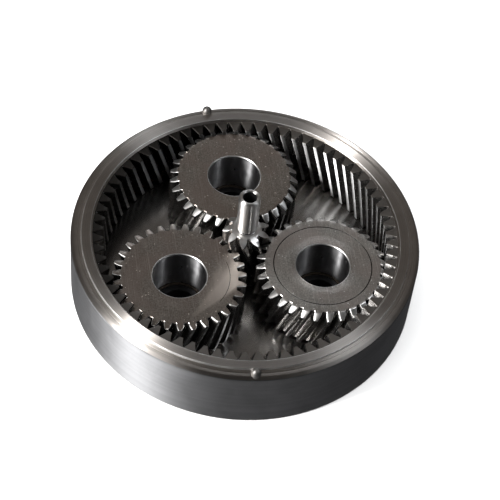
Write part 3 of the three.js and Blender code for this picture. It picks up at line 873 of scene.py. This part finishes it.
class Metal(Nodes):
    """A metal material and the nodes that give it colour, roughness and surface detail."""

    def __init__(self, name, colour, roughness, anisotropy=0.0):
        self.material = bpy.data.materials.new(name)
        self.material.use_nodes = True
        super().__init__(self.material.node_tree)
        self.inputs = self.tree.nodes["Principled BSDF"].inputs
        self.feed(self.inputs["Metallic"], 1.0)
        self.feed(self.inputs["Roughness"], roughness)
        self.feed(self.inputs["Base Color"], (*colour, 1))
        self.colour = colour
        self.roughness = roughness
        self.bumps = None
        self.place = self.node("ShaderNodeTexCoord").outputs["Object"]
        if anisotropy:
            tangent = self.node("ShaderNodeTangent", direction_type="RADIAL", axis="Z")
            self.feed(self.inputs["Anisotropic"], anisotropy)
            self.feed(self.inputs["Anisotropic Rotation"], GROOVE_TURN)
            self.feed(self.inputs["Tangent"], tangent.outputs["Tangent"])

    def mapped(self, scale, turn=0.0):
        inputs = [("Vector", self.place), ("Scale", scale), ("Rotation", (0, 0, turn))]
        return self.node("ShaderNodeMapping", inputs).outputs["Vector"]

    def noise(self, vector, scale, detail=3.0, distortion=0.0):
        inputs = [("Vector", vector), ("Scale", scale), ("Detail", detail), ("Distortion", distortion)]
        return self.node("ShaderNodeTexNoise", inputs).outputs["Fac"]

    def lines(self, value, pitch, detail=4.0):
        """Noise that changes along one value only, so it draws lathe lines of about that pitch."""
        inputs = [("W", self.maths("DIVIDE", value, pitch)), ("Scale", 1.0), ("Detail", detail)]
        return self.node("ShaderNodeTexNoise", inputs, noise_dimensions="1D").outputs["Fac"]

    def radius_and_height(self):
        x, y, z = self.split(self.place)
        return self.length(x, y), z

    def along(self, azimuth):
        """Distance across the piece in a direction of its own frame."""
        return self.dot(self.split(self.place), polar(1, azimuth))

    def bump(self, height, distance):
        """Adds surface relief on top of what is there already."""
        made = self.node("ShaderNodeBump", [("Height", height), ("Distance", distance)])
        if self.bumps:
            self.feed(made.inputs["Normal"], self.bumps)
        self.bumps = made.outputs["Normal"]
        self.feed(self.inputs["Normal"], self.bumps)

    def smear(self, low, high, scale, detail, distortion=0.0):
        """Varies the roughness in soft patches, between two factors, and returns the patches."""
        patches = self.noise(self.place, scale, detail, distortion)
        limits = [("To Min", self.roughness * low), ("To Max", self.roughness * high)]
        made = self.node("ShaderNodeMapRange", [("Value", patches), *limits])
        self.feed(self.inputs["Roughness"], made.outputs["Result"])
        return patches

    def tint(self, value, stops):
        self.feed(self.inputs["Base Color"], self.ramp(value, stops))

    def overlay(self, mask, colour):
        """Puts another colour over the tinted base colour where the mask is 1."""
        base = self.inputs["Base Color"]
        inputs = [("Factor", mask), ("A", base.links[0].from_socket), ("B", (*colour, 1))]
        self.feed(base, self.node("ShaderNodeMix", inputs, data_type="RGBA").outputs["Result"])

    def scratches(self, count, seed, width):
        """Fine straight scratches in several directions, 1 in a scratch and 0 elsewhere."""
        total = None
        for i in range(count):
            turn = seed + SCRATCH_TURN * i
            stretch = SCRATCH_STRETCH / width
            stretched = self.mapped((1 / width, stretch, stretch), turn)
            line = self.noise(stretched, 0.35, 1.0, 0.15)
            thin = self.ramp(line, [(0.69, 0.0), (0.71, 1.0), (1.0, 1.0)])
            total = thin if total is None else self.maths("MAXIMUM", total, thin)
        return total


def shade(base, factor):
    return tuple(min(1.0, c * factor) for c in base)


def mottle(metal, scale, low=0.85, high=1.12):
    """Slow patches of lighter and darker metal."""
    patches = metal.noise(metal.place, scale, 4.0, 0.4)
    metal.tint(patches, [(0.3, shade(metal.colour, low)), (0.7, shade(metal.colour, high))])


def turned_steel(name, colour, roughness, anisotropy, pitch, depth):
    """Lathe-turned metal: rings of fine grooves about the piece's axis, up its walls as well."""
    metal = Metal(name, colour, roughness, anisotropy)
    across = metal.plus(*metal.radius_and_height())
    fine = metal.lines(across, pitch)
    coarse = metal.lines(across, pitch * 9, 2.0)
    both = metal.plus(metal.times(fine, 0.6), metal.times(coarse, 0.4))
    metal.bump(both, depth)
    smear = metal.smear(0.85, 1.15, 140, 5.0, 0.6)
    mixed = metal.plus(metal.times(both, 0.5), metal.times(smear, 0.5))
    metal.tint(mixed, [(0.35, shade(colour, 0.82)), (0.65, shade(colour, 1.15))])
    return metal


def ground_steel(name, colour, roughness, anisotropy, seed):
    """A used planet face: faint rings, grain, scratches in all directions and bright nicks."""
    metal = turned_steel(name, colour, roughness, anisotropy, 0.12 * MM, 0.002 * MM)
    grain = metal.noise(metal.place, 2600, 3.0)
    metal.bump(grain, 0.005 * MM)
    metal.overlay(metal.ramp(grain, [(0.5, 0.0), (0.75, 0.55)]), shade(colour, 1.9))
    metal.overlay(metal.ramp(grain, [(0.3, 0.6), (0.5, 0.0)]), shade(colour, 0.55))
    red, green, blue = colour
    tarnish = metal.noise(metal.mapped((1, 1, 1), seed), 110, 2.0)
    metal.overlay(metal.ramp(tarnish, [(0.42, 0.0), (0.6, 0.6)]), (red * 1.06, green * 0.96, blue * 0.95))
    scratched = metal.scratches(4, seed, 0.05 * MM)
    metal.bump(scratched, -0.006 * MM)
    metal.overlay(metal.times(scratched, 0.35), shade(colour, 2.2))
    nicks = metal.noise(metal.mapped((1, 1, 1), seed), 1500, 1.0)
    metal.overlay(metal.ramp(nicks, [(0.72, 0.0), (0.75, 1.0)]), shade(colour, 3.2))
    return metal


def brush_wedge_and_paint_reflection(metal):
    """Bumps brushed streaks into a wedge that widens from its tip, fading at its edges, and paints the wedge
    bright as a painted reflection.
    """
    place = metal.split(metal.place)
    x, y = (metal.maths("SUBTRACT", value, tip) for value, tip in zip(place, WEDGE_TIP))
    first, last = WEDGE_SIDES
    turn = metal.maths("SUBTRACT", metal.maths("ARCTAN2", y, x), first)
    sides = metal.ramp(metal.maths("MULTIPLY_ADD", turn, 0.5 / (last - first), 0.25),
                       [(0.17, 0.0), (0.3, 1.0), (0.68, 0.9), (0.85, 0.0)])
    length = metal.ramp(metal.maths("DIVIDE", metal.length(x, y), WEDGE_REACH),
                        [(0.05, 0.0), (0.3, 0.35), (0.7, 0.8), (0.9, 1.0)])
    mask = metal.times(sides, length)
    streaks = metal.noise(metal.mapped((0.06, 1, 1), WEDGE_STREAK_TURN), 5000, 2.0)
    metal.bump(metal.times(streaks, mask), 0.07 * MM)
    # painted reflection over the brushed wedge
    metal.overlay(mask, shade(metal.colour, 2.6))


def scribed_arc(metal):
    """A thin dark scribed line round part of a face."""
    first, last = SCRIBE_ENDS
    radius = metal.radius_and_height()[0]
    around = metal.maths("DIVIDE", metal.along((first + last) / 2), radius)
    within = metal.maths("GREATER_THAN", around, cos((last - first) / 2))
    off = metal.maths("ABSOLUTE", metal.maths("SUBTRACT", radius, SCRIBE_RADIUS))
    line = metal.maths("LESS_THAN", off, SCRIBE_HALF_WIDTH)
    metal.overlay(metal.times(line, within), shade(metal.colour, 0.25))


def coarse_rings(metal):
    """Deeper lathe rings next to the bore, which catch the light in a narrow fan."""
    radius = metal.radius_and_height()[0]
    share = metal.maths("DIVIDE", metal.maths("SUBTRACT", radius, PLANET_BORE), FAN_RADIUS - PLANET_BORE)
    fading = metal.ramp(share, [(0.0, 1.0), (0.7, 0.5), (1.0, 0.0)])
    metal.bump(metal.times(metal.lines(radius, FAN_PITCH, 2.0), fading), FAN_DEPTH)


def paint_reflection_band(metal):
    """Paints a bright band beside a straight line at a distance from the middle of a face, broken into
    streaks: a painted reflection.
    """
    across = metal.ramp(metal.maths("DIVIDE", metal.along(REFLECTION_BAND_AZIMUTH), 2 * REFLECTION_BAND_DISTANCE),
                        [(0.42, 0.0), (0.52, 1.0), (0.66, 0.85), (0.78, 0.3)])
    onward = metal.maths("DIVIDE", metal.along(REFLECTION_BAND_AZIMUTH + pi / 2), 4 * REFLECTION_BAND_DISTANCE)
    length = metal.ramp(metal.plus(onward, 0.5),
                        [(0.22, 0.0), (0.5, 0.7), (0.62, 1.0), (0.72, 0.3)])
    streaks = metal.noise(metal.mapped((1, 0.05, 1), -REFLECTION_BAND_AZIMUTH), 1600, 3.0)
    patchy = metal.times(across, metal.ramp(streaks, [(0.3, 0.5), (0.7, 1.0)]))
    metal.overlay(metal.times(patchy, length), shade(metal.colour, 2.0))


def paint_side_shade(metal):
    """Painted shade, darker towards one side of the ring, where its teeth face away from the light."""
    thin, full = SIDE_SHADE_EDGE
    share = metal.maths("DIVIDE", metal.along(SIDE_SHADE_AZIMUTH), RING_RADIUS)
    patches = metal.times(metal.noise(metal.place, 260, 3.0), 0.1)
    mask = metal.ramp(metal.plus(share, patches), [(thin, 0.0), (full, 1.0)])
    metal.overlay(mask, shade(metal.colour, 0.22))


def cut_steel(name, colour, roughness):
    """Tooth flanks: bright where the cutter left them, with faint feed marks up the tooth."""
    metal = Metal(name, colour, roughness)
    feed = metal.noise(metal.mapped((1, 1, 0.15)), 2600, 2.0)
    metal.bump(feed, 0.004 * MM)
    metal.smear(0.75, 1.25, 300, 4.0)
    mottle(metal, 200)
    return metal


def honed_steel(name, colour, roughness, anisotropy):
    """A polished bore or ground shaft with hardly visible grinding lines round it."""
    metal = Metal(name, colour, roughness, anisotropy)
    height = metal.split(metal.place)[2]
    metal.bump(metal.lines(height, 0.05 * MM), 0.0008 * MM)
    metal.smear(0.7, 1.4, 500, 3.0)
    mottle(metal, 400, 0.92, 1.06)
    return metal


def dark_finish(name, colour, roughness):
    """Black-oxide or phosphate coating, also near-black painted shade, with rubbed, lighter patches."""
    metal = Metal(name, colour, roughness)
    metal.feed(metal.inputs["Metallic"], 0.8)
    grain = metal.noise(metal.place, 3000, 3.0)
    metal.bump(grain, 0.003 * MM)
    metal.smear(0.8, 1.2, 500, 4.0)
    mottle(metal, 350, 0.7, 1.5)
    return metal


RING_BODY = turned_steel("ring turned steel", (0.6, 0.565, 0.535), 0.47, 1.0, 0.16 * MM, 0.007 * MM)
RING_WALL = turned_steel("ring wall steel", (0.41, 0.41, 0.42), 0.34, 0.3, 0.16 * MM, 0.004 * MM)
RING_FLANKS = cut_steel("ring tooth steel", (0.45, 0.44, 0.43), 0.27)
RING_CRESTS = turned_steel("ring crest steel", (0.78, 0.78, 0.78), 0.52, 1.0, 0.12 * MM, 0.003 * MM)
# near-black painted shade in the ring's tooth roots and in the scored planet's face groove
ROOT_AND_GROOVE_SHADE = cut_steel("ring roots and grooves, painted shade", (0.08, 0.078, 0.075), 0.4)
PLANET_FLANKS = cut_steel("planet tooth steel", (0.32, 0.31, 0.30), 0.25)
BURNISHED = cut_steel("burnished edges", (0.9, 0.89, 0.88), 0.34)
TOOTH_ENDS = cut_steel("bevelled tooth ends", (0.7, 0.69, 0.68), 0.33)
RING_ENDS = cut_steel("ring tooth ends", (0.17, 0.158, 0.146), 0.45)
HONED = honed_steel("honed bore steel", (0.42, 0.42, 0.43), 0.3, 1.0)
SHAFT = honed_steel("ground shaft steel", (0.85, 0.84, 0.83), 0.4, 0.9)
# near-black: black oxide on the pins, and painted shade at the bottom of the planet bores and in the shaft's
# centre hole and neck
PIN = dark_finish("black oxide steel and painted shade", (0.02, 0.02, 0.021), 0.5)
CLIP = dark_finish("phosphated spring steel", (0.07, 0.07, 0.075), 0.5)
# bronze made near-black as painted shade at the bottom of the planet bores
BUSH = dark_finish("bearing bronze darkened as painted shade", (0.045, 0.036, 0.028), 0.5)
LINER = turned_steel("rolled liner bronze", (0.42, 0.31, 0.17), 0.4, 0.3, 0.1 * MM, 0.003 * MM)
WASHER = turned_steel("ground washer steel", (0.42, 0.41, 0.4), 0.35, 0.5, 0.1 * MM, 0.003 * MM)
CARRIER = turned_steel("carrier turned steel", (0.34, 0.335, 0.33), 0.22, 0.0, 0.2 * MM, 0.002 * MM)
DOWEL = honed_steel("dowel steel", (0.28, 0.27, 0.26), 0.5, 0.3)
PLANET_FACES = {
    1: ground_steel("planet 1 face steel", (0.265, 0.238, 0.212), 0.36, 0.0, 0.4),
    2: ground_steel("planet 2 face steel", (0.315, 0.288, 0.264), 0.34, 0.0, 1.3),
    3: ground_steel("planet 3 face steel", (0.46, 0.447, 0.425), 0.36, 0.3, 2.2),
}

# painted reflections on that planet's face: a bright band, then a bright wedge
paint_reflection_band(PLANET_FACES[WORN_PLANET_WITH_PAINTED_LIGHT])
brush_wedge_and_paint_reflection(PLANET_FACES[WORN_PLANET_WITH_PAINTED_LIGHT])
scribed_arc(PLANET_FACES[WORN_PLANET_WITH_PAINTED_LIGHT])
coarse_rings(PLANET_FACES[SCORED_PLANET])
# paint shade on the ring's teeth towards one side
for metal in (RING_CRESTS, RING_FLANKS, RING_ENDS):
    paint_side_shade(metal)

# How far a face's normal leans up: its z is 0 on a wall and 1 on a level face.
WALL = 0.25
SLOPE = 0.35
STEEP = 0.4
HALFWAY = 0.6
NEARLY_LEVEL = 0.8
LEVEL = 0.97


def dress(piece, metals, choose=None):
    """Gives a piece its metals; choose picks one from a face's centre and normal."""
    for metal in metals:
        piece.data.materials.append(metal.material)
    if choose:
        for polygon in piece.data.polygons:
            polygon.material_index = metals.index(choose(polygon.center, polygon.normal))


def ring_metal(centre, normal):
    radius = centre.xy.length
    up = abs(normal.z)
    if RING_SPACE.root < radius < RING_JOIN and up > SLOPE:
        return RING_ENDS
    if radius > RING_RADIUS - 1 * MM and up < HALFWAY:
        return RING_WALL
    corner = min(abs(radius - LAND_OUTER_RADIUS - 0.05 * MM), abs(radius - LAND_INNER_RADIUS))
    if centre.z > SHOULDER_HEIGHT and corner < 0.14 * MM and up < LEVEL:
        return BURNISHED
    if up > HALFWAY or radius > RING_SPACE.crest + 0.1 * MM:
        return RING_BODY
    if radius < RING_SPACE.root + 0.06 * MM:
        return RING_CRESTS
    # the tooth roots are near-black: painted shade
    return ROOT_AND_GROOVE_SHADE if radius > RING_SPACE.crest - 0.12 * MM else RING_FLANKS


def planet_metal(face, ends):
    """What picks the metals of a planet, given those of its face and its tooth ends."""

    def choose(centre, normal):
        radius = centre.xy.length
        up = abs(normal.z)
        if radius < PLANET_BORE + 0.25 * MM:
            return BURNISHED if up > WALL else HONED
        if radius < PLANET.root - 0.05 * MM:
            # the face groove takes near-black metal: painted shade
            return ROOT_AND_GROOVE_SHADE if abs(radius - FACE_SCORE_RADIUS) < SCORE_WIDTH / 2 else face
        if up > NEARLY_LEVEL:
            return ends
        return BURNISHED if up > STEEP else PLANET_FLANKS

    return choose


def sun_metal(centre, normal):
    """The shaft's centre hole and neck take the near-black pin metal as painted shade, and its teeth are like
    the planets'.
    """
    radius = centre.xy.length
    above = centre.z - SUN_GEAR_TOP
    # painted shade in the centre hole and in the neck's recess
    if above > 1 * MM and radius < SHAFT_CENTRE_RADIUS + 0.02 * MM:
        return PIN
    if 0.1 * MM < above < SHAFT_NECK_HEIGHT - 0.05 * MM and radius < SHAFT_RADIUS - 0.05 * MM:
        return PIN
    if -1.3 * MM < above < 0.01 * MM and normal.z > 0.5:
        return TOOTH_ENDS
    toothed = centre.z > PLANET_BOTTOM and above < -0.01 * MM and radius > SUN_BEVEL_START
    return PLANET_FLANKS if toothed else SHAFT


dress(ring, [RING_BODY, RING_FLANKS, RING_CRESTS, ROOT_AND_GROOVE_SHADE, RING_WALL, BURNISHED, RING_ENDS], ring_metal)
for k, planet in planets.items():
    face = PLANET_FACES[k]
    # that planet's tooth ends take its darker face metal instead of TOOTH_ENDS: painted shade
    ends = [] if k == WORN_PLANET_WITH_PAINTED_LIGHT else [TOOTH_ENDS]
    choose = planet_metal(face, ends[0] if ends else face)
    dress(planet, [face, PLANET_FLANKS, HONED, *ends, BURNISHED, ROOT_AND_GROOVE_SHADE], choose)
dress(sun, [SHAFT, PLANET_FLANKS, PIN, TOOTH_ENDS], sun_metal)
for pieces, metal in (
    (pins, PIN), ([*bushes, pilot], BUSH), ([*washers, sun_washer], WASHER), (dowels, DOWEL),
    ([liner], LINER), ([carrier], CARRIER), ([clip], CLIP),
):
    for piece in pieces:
        dress(piece, [metal])

# -------------------- floor, light and camera

CAMERA_TURN = radians(-13.1)
CAMERA_ELEVATION = 50.7  # degrees
CAMERA_DISTANCE = 9.712 * RING_RADIUS
CAMERA_ROLL = radians(6.26)
CAMERA_PITCH = radians(-0.576)
CAMERA_YAW = radians(-0.128)
LENS = 122.4
AIM = Vector((0, 0, RING_HEIGHT))
FLOOR_HALF = 3.0
FLOOR_COLOUR = (0.88, 0.88, 0.88, 1)


def from_camera(azimuth, elevation):
    """Unit vector: azimuth 0 is to the camera's right and 90 away from it, in degrees."""
    level, up = polar(1, radians(elevation))
    return Vector((*polar(level, radians(azimuth) + CAMERA_TURN), up))


def make_camera():
    data = bpy.data.cameras.new("camera")
    data.lens = LENS
    data.sensor_width = 36
    data.clip_start = 0.01
    data.clip_end = 50
    camera = linked("camera", data)
    back = from_camera(-90, CAMERA_ELEVATION)
    camera.location = AIM + back * CAMERA_DISTANCE
    camera.rotation_mode = "QUATERNION"
    look = (-back).to_track_quat("-Z", "Y")
    roll = Quaternion((0, 0, 1), CAMERA_ROLL)
    nudge = Euler((CAMERA_PITCH, CAMERA_YAW, 0)).to_quaternion()
    camera.rotation_quaternion = look @ roll @ nudge
    bpy.context.scene.camera = camera


def make_floor():
    mesh = bpy.data.meshes.new("floor")
    h = FLOOR_HALF
    mesh.from_pydata([(-h, -h, 0), (h, -h, 0), (h, h, 0), (-h, h, 0)], [], [(0, 1, 2, 3)])
    floor = linked("floor", mesh)
    material = bpy.data.materials.new("pale floor")
    material.use_nodes = True
    shader = material.node_tree.nodes["Principled BSDF"]
    shader.inputs["Base Color"].default_value = FLOOR_COLOUR
    shader.inputs["Roughness"].default_value = 0.9
    floor.data.materials.append(material)
    floor.visible_glossy = False


def soft_light(name, azimuth, elevation, distance, size, power, colour):
    data = bpy.data.lights.new(name, "AREA")
    data.shape = "RECTANGLE"
    data.size, data.size_y = size
    data.energy = power
    data.color = colour
    light = linked(name, data)
    direction = from_camera(azimuth, elevation)
    light.location = AIM + direction * distance
    light.rotation_mode = "QUATERNION"
    light.rotation_quaternion = (-direction).to_track_quat("-Z", "Y")


GLOW_AZIMUTH = 202  # where the low, bright end of the studio stands
GLOW_FADE = (-0.45, -0.1)  # full under the first height of a view's unit vector, gone over the second
GLOW_STOPS = [  # cosine of the angle from it, mapped to 0..1, and the radiance
    (0.0, 0.04), (0.4, 0.1), (0.75, 0.11), (0.9, 0.2), (0.97, 0.8), (1.0, 3.0),
]
CANOPY_AZIMUTH = 95  # the soft, warm canopy that the upper faces reflect
CANOPY_ELEVATION = 55
CANOPY_STOPS = [
    (0.0, (0.006, 0.006, 0.008)), (0.5, (0.010, 0.010, 0.011)), (0.75, (0.028, 0.027, 0.026)),
    (0.9, (0.09, 0.082, 0.075)), (1.0, (0.175, 0.158, 0.144)),
]
PALE_BACKGROUND = (1.5, 1.5, 1.5, 1)


def make_world():
    """Pale to the eye; metal reflects a dark room with a soft canopy and a bright low end."""
    world = bpy.data.worlds.new("studio")
    bpy.context.scene.world = world
    world.cycles.sampling_method = "NONE"
    world.use_nodes = True
    world.node_tree.nodes.clear()
    nodes = Nodes(world.node_tree)
    view = nodes.split(nodes.node("ShaderNodeTexCoord").outputs["Generated"])
    facing = nodes.dot(view, from_camera(CANOPY_AZIMUTH, CANOPY_ELEVATION))
    canopy = nodes.ramp(nodes.maths("MULTIPLY_ADD", facing, 0.5, 0.5), CANOPY_STOPS)
    along = nodes.dot(view[:2], from_camera(GLOW_AZIMUTH, 0))
    cosine = nodes.maths("DIVIDE", along, nodes.length(*view[:2]))
    glow = nodes.ramp(nodes.maths("MULTIPLY_ADD", cosine, 0.5, 0.5), GLOW_STOPS)
    full, gone = GLOW_FADE
    fading = nodes.node("ShaderNodeMapRange", [("Value", view[2]), ("From Min", full), ("From Max", gone)],
                        interpolation_type="SMOOTHSTEP")
    low = nodes.maths("SUBTRACT", 1.0, fading.outputs["Result"])
    both = nodes.node("ShaderNodeMix", [("Factor", 1.0), ("A", canopy), ("B", nodes.times(glow, low))],
                      data_type="RGBA", blend_type="ADD")
    room = nodes.node("ShaderNodeBackground", [("Color", both.outputs["Result"])])
    pale = nodes.node("ShaderNodeBackground", [("Color", PALE_BACKGROUND)])
    reflected = nodes.node("ShaderNodeLightPath").outputs["Is Glossy Ray"]
    pick = nodes.node("ShaderNodeMixShader", [("Fac", reflected), (1, pale.outputs[0]), (2, room.outputs[0])])
    nodes.node("ShaderNodeOutputWorld", [("Surface", pick.outputs[0])])


make_camera()
make_floor()
make_world()
soft_light("key", 208, 32, 0.9, (0.16, 0.42), 11, (1.0, 0.99, 0.975))
soft_light("window", 224, 15, 1.0, (0.5, 0.2), 2.5, (1.0, 0.99, 0.97))
soft_light("rim", 88, 26, 1.0, (0.5, 0.15), 0.8, (0.9, 0.95, 1.0))
soft_light("side", 8, 58, 1.0, (0.07, 0.3), 1.1, (0.92, 0.96, 1.0))
bpy.context.scene.view_settings.view_transform = "Standard"
